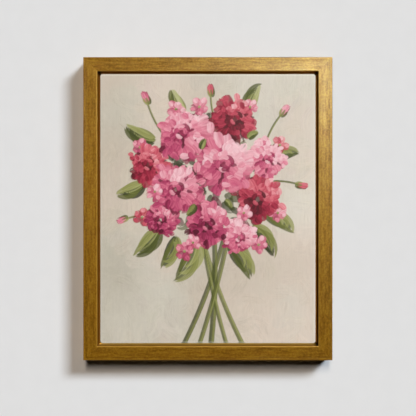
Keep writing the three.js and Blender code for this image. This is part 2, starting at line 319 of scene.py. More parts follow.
def raw_canvas():
    """Unprimed cotton duck, seen behind the stretcher bars, with painted shade in the hollows of its weave.
    """
    n = material_nodes("raw_canvas")
    place = n.place()
    weave = weave_height(n, place)
    along, cross = (n.noise(place, scale, 3.0, 0.6) for scale in ((30, 200, 900), (900, 200, 30)))
    slubs = n.times(n.plus(along, cross), 0.5)
    yarn = n.ramp(slubs, (0.4, (206, 194, 168)), (0.58, (232, 223, 202)))
    colour = n.layers(yarn, (weave, (0.1, 0.45), (0.6, 0), (172, 158, 130)))
    return n.surface(colour, 0.9, n.bump(weave, 0.8, 0.22), Sheen_Weight=0.15, Specular_IOR_Level=0.2)


def oil_paint():
    """Oil colour as the brush left it: bristle marks along each touch, with painted shade in their furrows
    and a painted highlight on their ridges, and the weave where it is thin, with painted shade in its
    hollows.
    """
    n = material_nodes("oil_paint")
    place = n.place()
    pigment = n.attribute("pigment", "Color")
    brush = n.attribute("brush", "Vector")
    impasto = n.attribute("impasto")
    thin = n.ramp(impasto, (0.04, 1), (0.14, 0.02))
    bristles = n.noise(brush, (0.1, 1.9, 7.3), 3.0, 0.6)
    hairs = n.noise(brush, (0.22, 5.2, 3.1), 2.0, 0.6)
    slubs = n.noise(place, (620, 1, 70), 3.0, 0.6)
    chalk = n.noise(place, 260.0, 4.0, 0.65)
    weave = weave_height(n, place)
    shaded = n.mix(n.ramp(bristles, (0.28, 0.34), (0.5, 0)), pigment, pigment, "MULTIPLY")
    lit = n.mix(n.ramp(hairs, (0.52, 0), (0.74, 0.16)), shaded, (255, 244, 236), "SOFT_LIGHT")
    colour = n.layers(
        lit,
        (weave, (0.0, 0.16), (0.75, 0), (120, 110, 92)),
        (slubs, (0.44, 0), (0.72, 0.07), (120, 110, 92)),
        (chalk, (0.46, 0), (0.72, 0.1), (226, 218, 206)),
        cover=thin,
    )
    height = n.plus(n.times(bristles, 0.65), n.times(hairs, 0.35))
    height = n.times(height, n.ramp(impasto, (0.04, 0.5), (0.14, 1)))
    normal = n.bump(n.times(weave, thin), 0.45, 0.1, n.bump(height, 0.6, 0.1))
    return n.surface(colour, n.ramp(hairs, (0.35, 0.6), (0.65, 0.46)), normal, Specular_IOR_Level=0.16)


def zinc_steel(name, tone):
    """Zinc-plated steel, dulled and faintly spangled."""
    n = material_nodes(name)
    place = n.place()
    spangle = n.noise(place, 900.0, 3.0, 0.6)
    rub = n.noise(place, (4000, 500, 600), 2.0)
    colour = n.ramp(spangle, (0.35, tuple(c * 0.84 for c in tone)), (0.65, tone))
    roughness = n.ramp(spangle, (0.3, 0.42), (0.7, 0.28))
    return n.surface(colour, roughness, n.bump(rub, 0.25, 0.03), Metallic=0.7)


def soft_rubber():
    n = material_nodes("soft_rubber")
    place = n.place()
    grain = n.noise(place, 2600.0, 2.0)
    dust = n.noise(place, 240.0)
    colour = n.ramp(dust, (0.4, (34, 33, 32)), (0.75, (66, 63, 60)))
    return n.surface(colour, n.ramp(grain, (0.3, 0.85), (0.7, 0.62)), n.bump(grain, 0.3, 0.05))


# ---- Meshes ----

CREASE = math.radians(50)
VALUE_KINDS = {1: ("FLOAT", "value"), 3: ("FLOAT_VECTOR", "vector"), 4: ("FLOAT_COLOR", "color")}


def new_object(name, data):
    thing = bpy.data.objects.new(name, data)
    bpy.context.scene.collection.objects.link(thing)
    return thing


def new_mesh(name, points, faces, *materials):
    """A mesh object from points in millimetres."""
    mesh = bpy.data.meshes.new(name)
    mesh.from_pydata((np.asarray(points, float) * MM).tolist(), [], faces)
    for material in materials:
        mesh.materials.append(material)
    return new_object(name, mesh)


def add_piece(name, points, faces, materials, face_material=None):
    """A piece of the picture, smooth but for its sharp edges."""
    thing = new_mesh(name, points, faces, *materials)
    mesh = thing.data
    if face_material is not None:
        mesh.polygons.foreach_set("material_index", np.asarray(face_material, np.int32))
    mesh.polygons.foreach_set("use_smooth", np.ones(len(mesh.polygons), bool))
    mesh.update()
    mesh.set_sharp_from_angle(angle=CREASE)
    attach(thing, "root")
    return thing


def add_values(thing, name, values):
    """Stores a number, a vector or a colour at each point, for the materials."""
    values = np.asarray(values, np.float32).ravel()
    kind, key = VALUE_KINDS[len(values) // len(thing.data.vertices)]
    layer = thing.data.attributes.new(name, kind, "POINT")
    layer.data.foreach_set(key, values)


# ---- The frame's rails ----

RAIL_STEP = 1.5
FACE_STEP = 0.34
WALL_STEP = 0.7
BACK_STEP = 1.6
MITRE_GAP = 0.008
SUNK_BACK = 0.06
SMOOTH_ENDS = 1.6
PATTERN_SHIFT = 0.7

# A screw head's seat in the wood
SEAT_STEP = 0.4
SEAT_MARGIN = 0.8
SEAT_GAP = 0.12
SEAT_SLOPE = 1.25
SEAT_DEPTH = 2.4

# Brush ridges, as height, length and width, and dents
RIDGES = ((0.022, 34, 0.55), (0.03, 60, 2.1))
DENT_DEPTH = 0.1
DENT_LENGTH = 7
DENT_WIDTH = 4
DENTED = 0.62

# How much wear the edges show, with a painted highlight on the inner edges that face the light; how much
# painted shade lies in the groove and in the channel, at its lip, on its ledge and in its corners; and where
# the bottom channel's painted highlight begins
OUTER_WEAR = 0.15
# Higher on the bottom and left inner edges, which face the light: painted highlight over the wear
INNER_WEAR_AND_HIGHLIGHT = {"top": 0.5, "right": 0.5, "bottom": 1.6, "left": 0.9}
CORNER_WEAR = 0.4
CORNER_WEAR_LENGTH = 18
SIDE_LACQUER = 0.12
GROOVE_SHADE = {"top": 0.06, "right": 0.24, "bottom": 0.24, "left": 0.24}
CHANNEL_SHADE = {"top": 0.0, "right": 0.25, "left": 0.25}
CHANNEL_LIP = 5
LIP_SHADE = 0.3
LEDGE_SHADE = 0.6
CORNER_SHADE_LENGTH = 5


def arc(x, y, radius, start, steps=5):
    """A quarter round, clockwise, from an angle in quarter turns."""
    angles = (start - np.linspace(0, 1, steps + 1)) * math.pi / 2
    return [(x + radius * math.cos(a), y + radius * math.sin(a)) for a in angles]


def screw_seats(side):
    """The screw heads in a rail's back: inset from the outer edge, place along the rail, and radius."""
    if side not in ("left", "right"):
        return []
    seats = []
    for height in ("upper", "lower"):
        low, high = box_of(f"screw_{side}_{height}")
        x, z = (low[0] + high[0]) / 2, (low[2] + high[2]) / 2 - CENTRE_Z
        seats.append((FRAME_WIDTH / 2 - abs(x), z if side == "left" else -z, (high[0] - low[0]) / 2))
    return seats


def rail_profile(seats):
    """Points round a rail's section, as inset from the outer edge and depth from the back."""
    front = FRAME_DEPTH
    groove = ((-0.5, 0), (-0.22, 0.75), (0, 1), (0.22, 0.75), (0.5, 0))
    seat_edges = []
    for inset, _, radius in seats[:1]:
        seat_edges = [(inset + reach, SUNK_BACK) for reach in (radius + SEAT_MARGIN, -radius - SEAT_MARGIN)]
    corners = [
        (BACK_ARRIS, SUNK_BACK),
        (0, BACK_ARRIS + SUNK_BACK),
        *arc(OUTER_ARRIS, front - OUTER_ARRIS, OUTER_ARRIS, 2),
        *((GROOVE_INSET + across * GROOVE_WIDTH, front - down * GROOVE_DEPTH) for across, down in groove),
        *arc(FACE_WIDTH - INNER_ARRIS, front - INNER_ARRIS, INNER_ARRIS, 1),
        (FACE_WIDTH, LEDGE_DEPTH),
        (LEDGE_WIDTH - BACK_ARRIS, LEDGE_DEPTH),
        (LEDGE_WIDTH, LEDGE_DEPTH - BACK_ARRIS),
        (LEDGE_WIDTH, BACK_ARRIS + SUNK_BACK),
        (LEDGE_WIDTH - BACK_ARRIS, SUNK_BACK),
        *seat_edges,
    ]
    points = []
    for (u0, d0), (u1, d1) in zip(corners, corners[1:] + corners[:1]):
        step = WALL_STEP
        if d0 > front - 2 and d1 > front - 2:
            step = FACE_STEP
        elif d0 < 1 and d1 < 1:
            step = SEAT_STEP if [(u0, d0), (u1, d1)] == seat_edges else BACK_STEP
        count = max(1, math.ceil(math.hypot(u1 - u0, d1 - d0) / step))
        points += [(u0 + (u1 - u0) * k / count, d0 + (d1 - d0) * k / count) for k in range(count)]
    return np.array(points)


def stations(length, seats):
    """Places along a rail from -1 to 1, close together at the screw heads."""
    way = np.linspace(-1, 1, round(length / RAIL_STEP) + 1)
    for inset, place, radius in seats:
        half = length / 2 - inset - MITRE_GAP
        low, high = (place - radius - SEAT_MARGIN) / half, (place + radius + SEAT_MARGIN) / half
        close = np.linspace(low, high, round(2 * (radius + SEAT_MARGIN) / SEAT_STEP) + 1)
        way = np.sort(np.concatenate([way[(way < low) | (way > high)], close]))
    return way[:, None]


def worked_wood(profile, seats, along, girth, from_end, seed):
    """Inset and depth of a rail's surface, with brush ridges and soft dents, and sunk at its screws."""
    u, d = profile.T
    ridges = 0
    for k, (height, long, wide) in enumerate(RIDGES):
        ridges = ridges + height * noise(along / long, girth / wide, seed + k)
    dents = smooth((noise(along / DENT_LENGTH, girth / DENT_WIDTH, seed + 2) - DENTED) / 0.3)
    relief = (ridges - DENT_DEPTH * dents) * smooth(from_end / SMOOTH_ENDS) * (d > BACK_ARRIS + 0.2)
    ahead_u, ahead_d = (np.roll(profile, -1, axis=0) - np.roll(profile, 1, axis=0)).T
    relief = relief / np.hypot(ahead_u, ahead_d)
    inset = u - ahead_d * relief
    depth = d + ahead_u * relief
    for across, place, radius in seats:
        sunk = (radius + SEAT_GAP - np.hypot(u - across, along - place)) * SEAT_SLOPE
        depth = depth + np.clip(sunk, 0, SEAT_DEPTH) * (d < SUNK_BACK + 0.01)
    return inset, depth


def rail_faces(profile, steps):
    """Faces between a rail's stations and at its ends, with their materials: gilt, wood or clay."""
    count = len(profile)
    u, d = (profile + np.roll(profile, -1, axis=0)).T / 2
    kind = np.zeros(count, int)
    kind[(u > FACE_WIDTH - 0.1) & (d < FRAME_DEPTH - INNER_ARRIS - 0.5)] = 2
    kind[(d < BACK_ARRIS + 0.1) | (u > LEDGE_WIDTH - 0.2)] = 1
    ring = np.arange(count)
    ahead = np.roll(ring, -1)
    quads = np.stack([ring, ahead, ahead + count, ring + count], axis=1)
    faces = (quads + count * np.arange(steps)[:, None, None]).reshape(-1, 4).tolist()
    faces += [ring[::-1].tolist(), (ring + steps * count).tolist()]
    return faces, [*np.tile(kind, steps), 1, 1]


def tint_rail(piece, side, profile, way, from_end):
    """Stores where a rail shows wear and a painted highlight ('edge'), where it is glossy ('lacquer'), and
    where it has painted shade ('groove').
    """
    u, d = profile.T
    front = FRAME_DEPTH
    everywhere = np.ones_like(from_end)
    channel = (u > FACE_WIDTH - 0.1) & (d < front - INNER_ARRIS)
    past_lip = front - CHANNEL_LIP - d
    near_outer = np.hypot(u - 0.25, d - front + 0.25) < 0.75
    near_inner = np.hypot(u - FACE_WIDTH + 0.3, d - front + 0.3) < 0.85
    edge = np.where(near_outer, OUTER_WEAR, np.where(near_inner, INNER_WEAR_AND_HIGHLIGHT[side], 0.0))
    ends = True
    # The bottom channel: a painted highlight on its deeper wall, and painted shade at its lip and its
    # right-hand corner. Elsewhere painted shade lies on the channel's walls and ledge.
    if side == "bottom":
        edge = np.maximum(edge, channel * smooth(past_lip / 7))
        ends = way < 0
        shade = LIP_SHADE * (1 - smooth(past_lip / 4))
    else:
        shade = np.where(d < LEDGE_DEPTH + 0.1, LEDGE_SHADE, CHANNEL_SHADE[side])
    if side == "left":
        ends = way > 0
        worn_end = ends * (1 - smooth(from_end / CORNER_WEAR_LENGTH))
        edge = np.maximum(edge, CORNER_WEAR * worn_end * (d > front - 1))
    # Painted shade darkens the channel's corners at these ends.
    shade = np.maximum(shade, ends * (1 - smooth(from_end / CORNER_SHADE_LENGTH)))
    # Painted shade along the groove line.
    groove = np.exp(-(((u - GROOVE_INSET) / (0.42 * GROOVE_WIDTH)) ** 2)) * (d > front - 1)
    lacquer = np.where((u < 0.01) & (d < front - OUTER_ARRIS), SIDE_LACQUER, 1.0)
    add_values(piece, "edge", edge * everywhere)
    add_values(piece, "lacquer", lacquer * everywhere)
    add_values(piece, "groove", np.maximum(groove * GROOVE_SHADE[side], channel * shade))


def rail(side, seed, gilt, wood, clay):
    """One mitred rail."""
    seats = screw_seats(side)
    profile = rail_profile(seats)
    girth = np.concatenate([[0], np.cumsum(np.linalg.norm(np.diff(profile, axis=0), axis=1))])
    level = side in ("top", "bottom")
    length, breadth = (FRAME_WIDTH, FRAME_HEIGHT) if level else (FRAME_HEIGHT, FRAME_WIDTH)
    way = stations(length, seats)
    reach = length / 2 - profile[:, 0] - MITRE_GAP
    along = way * reach
    from_end = (1 - np.abs(way)) * reach
    inset, depth = worked_wood(profile, seats, along, girth, from_end, seed)
    sign = 1 if side in ("top", "right") else -1
    across = sign * (breadth / 2 - inset)
    x, z = (along * sign, across) if level else (across, -along * sign)
    points = np.stack([x, BACK_PLANE - depth, z + CENTRE_Z], axis=2)
    faces, kinds = rail_faces(profile, len(way) - 1)
    piece = add_piece(f"gilded_rail_{side}", points.reshape(-1, 3), faces, [gilt, wood, clay], kinds)
    pattern = np.broadcast_arrays(along * MM + PATTERN_SHIFT * seed, girth * MM, 0 * along)
    add_values(piece, "rail", np.stack(pattern, axis=2))
    tint_rail(piece, side, profile, way, from_end)
    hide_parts(f"rail_{side}")
    return piece


# ---- The canvas: one cloth, drawn over the bars and turned in behind them ----

CLOTH_STEP = 2.0
CORNER_REACH = 3
CORNER_STOPS = 9
BEND_STOPS = 6
SIDE_STOPS = 10
FLAP_STOPS = 12
FLAT_X = CANVAS_WIDTH / 2 - CANVAS_EDGE
FLAT_Z = CANVAS_HEIGHT / 2 - CANVAS_EDGE


def numbered(grid):
    """The points of a grid, numbered in the order in which they are stored."""
    return np.arange(grid.size).reshape(grid.shape)


def grid_quads(number):
    """Faces between the numbered points of a grid."""
    corners = [number[:-1, :-1], number[1:, :-1], number[1:, 1:], number[:-1, 1:]]
    return np.stack(corners, axis=2).reshape(-1, 4)


def ring_quads(near, far):
    """Faces between two closed rings of numbered points."""
    return np.stack([near, far, np.roll(far, -1), np.roll(near, -1)], axis=1)


def rounded(x, z, half_x, half_z, radius):
    """Draws the corners of a rectangle in to a round of the given radius."""
    over_x = np.maximum(np.abs(x) - (half_x - radius), 0)
    over_z = np.maximum(np.abs(z) - (half_z - radius), 0)
    pull = np.maximum(over_x, over_z) / np.maximum(np.hypot(over_x, over_z), 1e-9)
    new_x = np.where(over_x > 0, half_x - radius + over_x * pull, np.abs(x))
    new_z = np.where(over_z > 0, half_z - radius + over_z * pull, np.abs(z))
    return np.sign(x) * new_x, np.sign(z) * new_z


def cloth_path(inside):
    """The cloth's way from the front's edge to the end of its flap, as reach out and depth, and the
    number of its points that are painted."""
    bend = CANVAS_EDGE - inside
    turn = np.linspace(0, math.pi / 2, BEND_STOPS)[1:]
    front = [(bend * math.sin(a), CANVAS_EDGE - bend * math.cos(a)) for a in turn]
    side = [(bend, depth) for depth in np.linspace(CANVAS_EDGE, CANVAS_DEPTH - CANVAS_EDGE, SIDE_STOPS)[1:]]
    back = [(bend * math.cos(a), CANVAS_DEPTH - CANVAS_EDGE + bend * math.sin(a)) for a in turn]
    flap = [(-s, CANVAS_DEPTH - inside) for s in np.linspace(0, FLAP - CANVAS_EDGE, FLAP_STOPS)[1:]]
    return front + side + back + flap, len(front + side) + 2


def cloth_stops(half):
    """Places across the cloth: wide apart in the middle and close together at the corners."""
    close = np.linspace(half - CORNER_REACH, half, CORNER_STOPS)
    middle = np.linspace(-close[0], close[0], round(2 * close[0] / CLOTH_STEP) + 1)
    return np.concatenate([-close[:0:-1], middle, close[1:]])


def canvas(art, painted, raw):
    gx, gz = np.meshgrid(cloth_stops(FLAT_X), cloth_stops(FLAT_Z), indexing="ij")
    number = numbered(gx)
    loop = np.concatenate([number[:-1, 0], number[-1, :-1], number[:0:-1, -1], number[0, :0:-1]])
    edge_x, edge_z = gx.ravel()[loop], gz.ravel()[loop]
    out_x = np.where(np.abs(edge_x) > FLAT_X - 1e-6, np.sign(edge_x), 0)
    out_z = np.where(np.abs(edge_z) > FLAT_Z - 1e-6, np.sign(edge_z), 0)
    quads = grid_quads(number)

    def sheet_points(y):
        x, z = rounded(gx, gz, FLAT_X, FLAT_Z, CANVAS_CORNER - CANVAS_EDGE)
        return np.stack([x, np.full(x.shape, y), z], axis=2).reshape(-1, 3)

    def ring_points(out, depth):
        reach_x, reach_z = FLAT_X + out, FLAT_Z + out
        x = np.clip(edge_x + out_x * out, -reach_x, reach_x)
        z = np.clip(edge_z + out_z * out, -reach_z, reach_z)
        x, z = rounded(x, z, reach_x, reach_z, max(0.2, CANVAS_CORNER - CANVAS_EDGE + out))
        sunk = 0.05 + 0.05 * noise(x / 6 + 3, z / 6, 57) if out < 0 else 0.0
        return np.stack([x, np.full(x.shape, CANVAS_FRONT + depth) - sunk, z], axis=1)

    outside, painted_count = cloth_path(0.0)
    inside, _ = cloth_path(CLOTH)
    path = outside + inside[::-1]
    total = gx.size + len(path) * len(loop)
    rings = [loop, *np.arange(gx.size, total).reshape(len(path), -1), loop + total]
    points = [sheet_points(CANVAS_FRONT), *(ring_points(*stop) for stop in path)]
    cloud = np.concatenate([*points, sheet_points(CANVAS_FRONT + CLOTH)])
    sides = [ring_quads(near, far) for near, far in zip(rings, rings[1:])]
    faces = np.concatenate([quads, *sides, quads[:, ::-1] + total]).tolist()
    kinds = np.arange(len(faces)) >= len(quads) + painted_count * len(loop)
    across = np.clip(np.searchsorted(art.x, cloud[:, 0]), 2, len(art.x) - 3)
    up = np.clip(np.searchsorted(art.z, cloud[:, 2]), 2, len(art.z) - 3)
    cloud[:, 2] += CENTRE_Z
    piece = add_piece("canvas_cloth", cloud, faces, [painted, raw], kinds)
    add_values(piece, "pigment", with_alpha(art.colour[across, up]))
    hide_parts("canvas")
    return piece


# ---- The painting: touches of oil colour on a fine grid over the canvas ----

GRAIN = 0.5
RIM_WIDTH = 1.5
RIM_PALENESS = 0.45
PRIMING = 0.06
PRIMING_COLOUR = (240, 237, 226)
FADE_WIDTH = 1.4
DIP = 0.06
DIP_WIDTH = 0.5


# Families of colours, from dark to light
PINKS = linear(((84, 16, 38), (128, 28, 62), (168, 50, 92), (198, 84, 118), (218, 120, 142),
                (230, 156, 170), (240, 196, 202)))
WARMS = linear(((80, 14, 28), (124, 20, 44), (160, 34, 62), (188, 62, 84), (210, 98, 112),
                (226, 140, 148), (238, 188, 190)))
GREENS = linear(((44, 48, 22), (74, 80, 36), (104, 108, 52), (134, 136, 74), (164, 164, 104),
                 (190, 190, 142)))
GREYS = linear(((184, 177, 160), (196, 189, 173), (206, 199, 184), (216, 208, 194), (231, 224, 208)))


def blend(colours, place):
    """The colour of a family at a place from 0 to 1, or the colours at many."""
    place = np.clip(place, 0, 1) * (len(colours) - 1)
    low = np.minimum(place.astype(int), len(colours) - 2)
    return colours[low] + (colours[low + 1] - colours[low]) * (place - low)[..., None]


def tone(colours, value):
    """A family's colour for a value of about 0 to 1, with the contrast drawn out."""
    return blend(colours, 0.43 + 1.32 * (value - 0.5))


class Painting:
    """Colour and height of the paint over the canvas, and how the last brush ran at each point."""

    def __init__(self, seed):
        self.rng = np.random.default_rng(seed)
        self.x = np.linspace(-FLAT_X, FLAT_X, round(2 * FLAT_X / GRAIN) + 1)
        self.z = np.linspace(-FLAT_Z, FLAT_Z, round(2 * FLAT_Z / GRAIN) + 1)
        self.inward = np.minimum(FLAT_X - np.abs(self.x)[:, None], FLAT_Z - np.abs(self.z))
        shape = self.inward.shape
        self.colour = np.zeros((*shape, 3)) + linear((203, 195, 180))
        self.height = np.zeros(shape)
        self.brush = np.zeros((*shape, 3))
        self.count = 0

    def dab(self, start, end, width, main, far, bow=0.0, thick=0.12, cover=1.0, wet=0.15, taper=(0.3, 0.45),
            dry=0.25):
        """One dab of the brush along an arc. The far colour lies on the arc's left; bow is how far the
        arc bulges to the left, as a share of its length; wet is how much of the paint below it picks up;
        taper is how long its two ends are; dry is how soon the bristles run out of paint."""
        long = math.dist(start, end)
        bow = bow if abs(bow) > 0.01 else 0.01
        ahead = (end - start) / long
        left = np.array([-ahead[1], ahead[0]])
        rise = bow * long
        radius = (long ** 2 / 4 + rise ** 2) / (2 * abs(rise))
        side = math.copysign(1, rise)
        centre = (start + end) / 2 + left * (rise - side * radius)
        reach = width / 2 + abs(rise) + 1
        low, high = np.minimum(start, end) - reach, np.maximum(start, end) + reach
        i0, i1 = np.searchsorted(self.x, (low[0], high[0]))
        j0, j1 = np.searchsorted(self.z, (low[1], high[1]))
        here = np.s_[i0:i1, j0:j1]
        x, z = self.x[i0:i1, None] - centre[0], self.z[None, j0:j1] - centre[1]
        q = start - centre
        turn = np.arctan2(q[0] * z - q[1] * x, q[0] * x + q[1] * z)
        p = end - centre
        full = math.atan2(q[0] * p[1] - q[1] * p[0], q @ p)
        s = turn / full
        across = side * (np.hypot(x, z) - radius)
        t = across / (width / 2)
        run = abs(full) * radius
        seed = 1000 + self.count * 3
        self.count += 1
        hairs = noise(t * 3.1 + 20, 0.5, seed)
        tuft = noise(t * 1.2 + 20, 3.5, seed)
        begin = -0.02 + 0.05 * hairs + 0.04 * tuft
        stop = 1.0 + 0.08 * hairs + 0.09 * tuft
        lead = np.clip((s - begin) / taper[0], 0, 1)
        tail = np.clip((stop - s) / taper[1], 0, 1)
        half = np.sqrt(lead * (2 - lead)) * np.sqrt(tail * (2 - tail))
        half = half * (1 + 0.10 * noise(s * 2.3 + 9, np.sign(t) * 3 + 9, seed + 1))
        edge = smooth((half - np.abs(t)) * width / 1.3 + 0.4)
        grip = 0.5 + 0.5 * noise(t * 4.2 + 20, s * 1.4 + 20, seed + 2)
        loaded = smooth((1.3 - dry * 1.4 * np.clip(s, 0, 1) - (1 - grip)) / 0.3)
        alpha = edge * loaded * cover * smooth(lead * 8) * smooth(tail * 8)
        share = np.clip(0.5 + 0.45 * t + 0.45 * (grip - 0.5) * 2, 0, 1)[..., None]
        streak = 1 + 0.16 * (grip - 0.5)[..., None]
        paint = (main * (1 - share) + far * share) * streak
        under = self.colour[here]
        pickup = wet * np.clip(0.4 + 0.8 * s, 0, 1)[..., None]
        paint = paint * (1 - pickup) + under * pickup
        a = alpha[..., None]
        self.colour[here] = under * (1 - a) + paint * a
        body = 0.7 + 0.45 * np.abs(t) ** 4 + 0.5 * (grip - 0.5) + 0.25 * smooth((s - 0.65) / 0.25)
        self.height[here] = self.height[here] * (1 - 0.45 * alpha) + alpha * thick * body
        mark = alpha > 0.45
        self.brush[here][mark] = np.stack(
            [np.clip(s, -0.2, 1.2) * run, across, np.full(across.shape, (self.count % 61) * 1.7)], axis=2
        )[mark]

    def touch(self, start, end, width, colours, value, lift, **how):
        """A dab in one family of colours, whose far side is lighter by 'lift'."""
        self.dab(start, end, width, tone(colours, value), tone(colours, value + lift), **how)


LIGHT = np.array([0.55, 0.84])
TURN = 2 * math.pi
PAINTING_SEED = 11
SCUMBLES = 520
SHADOW_DABS = 110
SHADOW_CENTRE = np.array([0, 34])
SHADOW_REACH = np.array([50, 56])
BLOOM_SHADES = 12
BLOOM_LIGHTS = 13
LEAF_BOW = 0.12

# Rings of petals from the outside in: count, reach, where they begin, breadth, lightness and dabs
PETAL_RINGS = ((6, 1, 0.3, 1.15, -0.02, 3), (5, 0.74, 0.2, 1.25, 0.05, 3), (4, 0.5, 0.1, 1.45, 0.02, 2))


def unit(angle):
    return np.array([math.cos(angle), math.sin(angle)])


def scumble(art):
    """Warm greys, scumbled in soft arcs over the whole canvas."""
    rng = art.rng
    x, z = art.x[:, None], art.z[None, :]
    # Lighter towards the right and the top: partly the ground's own tone, partly painted light from the
    # upper right.
    across = 0.52 + 0.24 * x / 100 + 0.14 * z / 127 + 0.2 * noise(x / 44 + 5, z / 56 + 5, 31)
    warm = smooth(0.5 + 0.8 * noise(x / 40 + 15, z / 46 + 9, 32) + 0.8 * (x / 100) * (-z / 127))
    art.colour[:] = blend(GREYS, across)
    art.colour *= 1 + warm[..., None] * np.array([0.05, -0.026, -0.04])
    for k in range(SCUMBLES):
        spot = rng.uniform((-104, -130), (104, 130))
        heading = rng.uniform(0, TURN) if k % 3 else rng.choice([1.45, 1.7, 0.1])
        arm = rng.uniform(6, 15) * unit(heading)
        i = min(np.searchsorted(art.x, spot[0]), len(art.x) - 1)
        j = min(np.searchsorted(art.z, spot[1]), len(art.z) - 1)
        base = art.colour[i, j]
        shift = rng.normal(1, 0.036) + rng.normal(0, 0.022, 3)
        art.dab(spot - arm, spot + arm, rng.uniform(8, 17), base * shift, base * rng.normal(1, 0.04),
                bow=rng.normal(0, 0.14), thick=0.03, cover=rng.uniform(0.25, 0.6), wet=0.3,
                taper=(0.5, 0.7), dry=0.4)


def petal(art, heart, direction, inner, outer, breadth, value, colours, dabs):
    """One broad petal, brushed from the heart out to a paler rim."""
    rng = art.rng
    lit_side = math.copysign(1, unit(direction + 1.57) @ LIGHT)
    for k in rng.permutation(dabs):
        place = (k + 0.5) / dabs * 2 - 1
        reach = outer * rng.normal(1 - 0.12 * place ** 2, 0.04)
        a = heart + inner * unit(direction + place * breadth * 0.25)
        b = heart + reach * unit(direction + place * breadth * 0.36)
        own = rng.normal(value + 0.05 * place * lit_side, 0.05)
        wide = min(9.5, max(2.6, outer * breadth / dabs * 1.15))
        art.touch(a, a + (b - a) * 0.62, wide * 0.85, colours, own - 0.3, 0.14, bow=0.1 * place,
                  thick=0.08, taper=(0.3, 0.5))
        art.touch(a + (b - a) * 0.32, b, wide, colours, own - 0.06, 0.16, bow=0.14 * place,
                  thick=0.13, wet=0.1, taper=(0.5, 0.42), dry=0.15)
    if rng.random() < 0.55:
        turn = rng.uniform(-0.3, 0.3) * breadth
        a = heart + outer * 0.84 * unit(direction + turn - 0.18 * breadth)
        b = heart + outer * 0.92 * unit(direction + turn + 0.16 * breadth)
        own = rng.normal(value + 0.11, 0.05)
        art.touch(a, b, max(2.4, outer * 0.24), colours, own, 0.1, bow=-0.08, thick=0.15, wet=0.22,
                  dry=0.35, taper=(0.45, 0.6))


def bloom(art, centre, radius, colours, value, face):
    """A full round flower that looks towards 'face': broad outer petals around a tight, darker cup."""
    rng = art.rng
    heart = centre + radius * face
    for _ in range(BLOOM_SHADES):
        heading = rng.uniform(0, TURN)
        spot = centre + unit(heading) * radius * math.sqrt(rng.uniform(0.02, 0.62))
        along = unit(heading + rng.normal(1.5, 0.5)) * radius * 0.34
        own = rng.normal(value - 0.36, 0.07)
        art.touch(spot - along, spot + along, radius * 0.44, colours, own, 0.12, bow=0.15, thick=0.07,
                  wet=0.2)
    for count, reach, inner, breadth, lift, dabs in PETAL_RINGS:
        first = rng.uniform(0, TURN)
        for k in rng.permutation(count):
            direction = first + (k + rng.uniform(-0.25, 0.25)) * TURN / count
            away = unit(direction)
            out = radius * reach * rng.normal(1, 0.09) * (1 - 0.8 * away @ face)
            own = rng.normal(value + lift + 0.17 * away @ LIGHT, 0.05)
            petal(art, heart, direction, radius * inner, out, breadth, own, colours, dabs)
            if rng.random() < 0.85:
                gap = direction + breadth * 0.5
                a = heart + unit(gap) * out * 0.4
                b = heart + unit(gap + 0.08) * out * 0.8
                art.touch(a, b, radius * 0.13, colours, own - 0.46, 0.12, bow=0.1, thick=0.05, wet=0.1,
                          taper=(0.5, 0.6), cover=0.9)
    for _ in range(BLOOM_LIGHTS):
        heading = rng.uniform(0, TURN)
        away = unit(heading)
        a = heart + away * radius * rng.uniform(0.42, 0.86)
        b = a + unit(heading + rng.normal(0, 0.55)) * radius * rng.uniform(0.22, 0.36)
        own = rng.normal(value + 0.27 * away @ LIGHT, 0.13)
        art.touch(a, b, radius * rng.uniform(0.17, 0.27), colours, own - 0.04, 0.12, bow=rng.normal(0, 0.12),
                  thick=0.15, wet=0.08, taper=(0.5, 0.45), dry=0.2)
    for k, shade in enumerate((-0.34, 0.1, -0.2, 0.16, -0.4, -0.1)):
        heading = k * 1.15 + rng.normal(0, 0.3)
        size = radius * (0.25 - 0.03 * k)
        art.touch(heart + size * unit(heading), heart + size * unit(heading + 1.5), radius * 0.15, colours,
                  value + shade, 0.1, bow=-0.3)


def blossom(art, centre, radius, colours, value):
    """A small open flower of five petals, each in two touches, with a green-gold eye."""
    rng = art.rng
    first = rng.uniform(0, TURN)
    for k in rng.permutation(5):
        direction = first + k * TURN / 5 + rng.normal(0, 0.12)
        away = unit(direction)
        own = rng.normal(value + 0.14 * away @ LIGHT, 0.05)
        out = radius * rng.normal(1, 0.08)
        tip = centre + away * out
        art.touch(centre + away * radius * 0.1, tip, radius * 0.82, colours, own - 0.14, 0.16, thick=0.11,
                  taper=(0.6, 0.45))
        tip = centre + unit(direction + 0.15) * out * 0.95
        art.touch(centre + away * radius * 0.5, tip, radius * 0.46, colours, own + 0.08, 0.1, thick=0.13,
                  taper=(0.5, 0.5))
    eye = unit(0.5) * radius * 0.14
    art.touch(centre - eye, centre + eye, radius * 0.26, GREENS, 0.55, 0.25, thick=0.16)


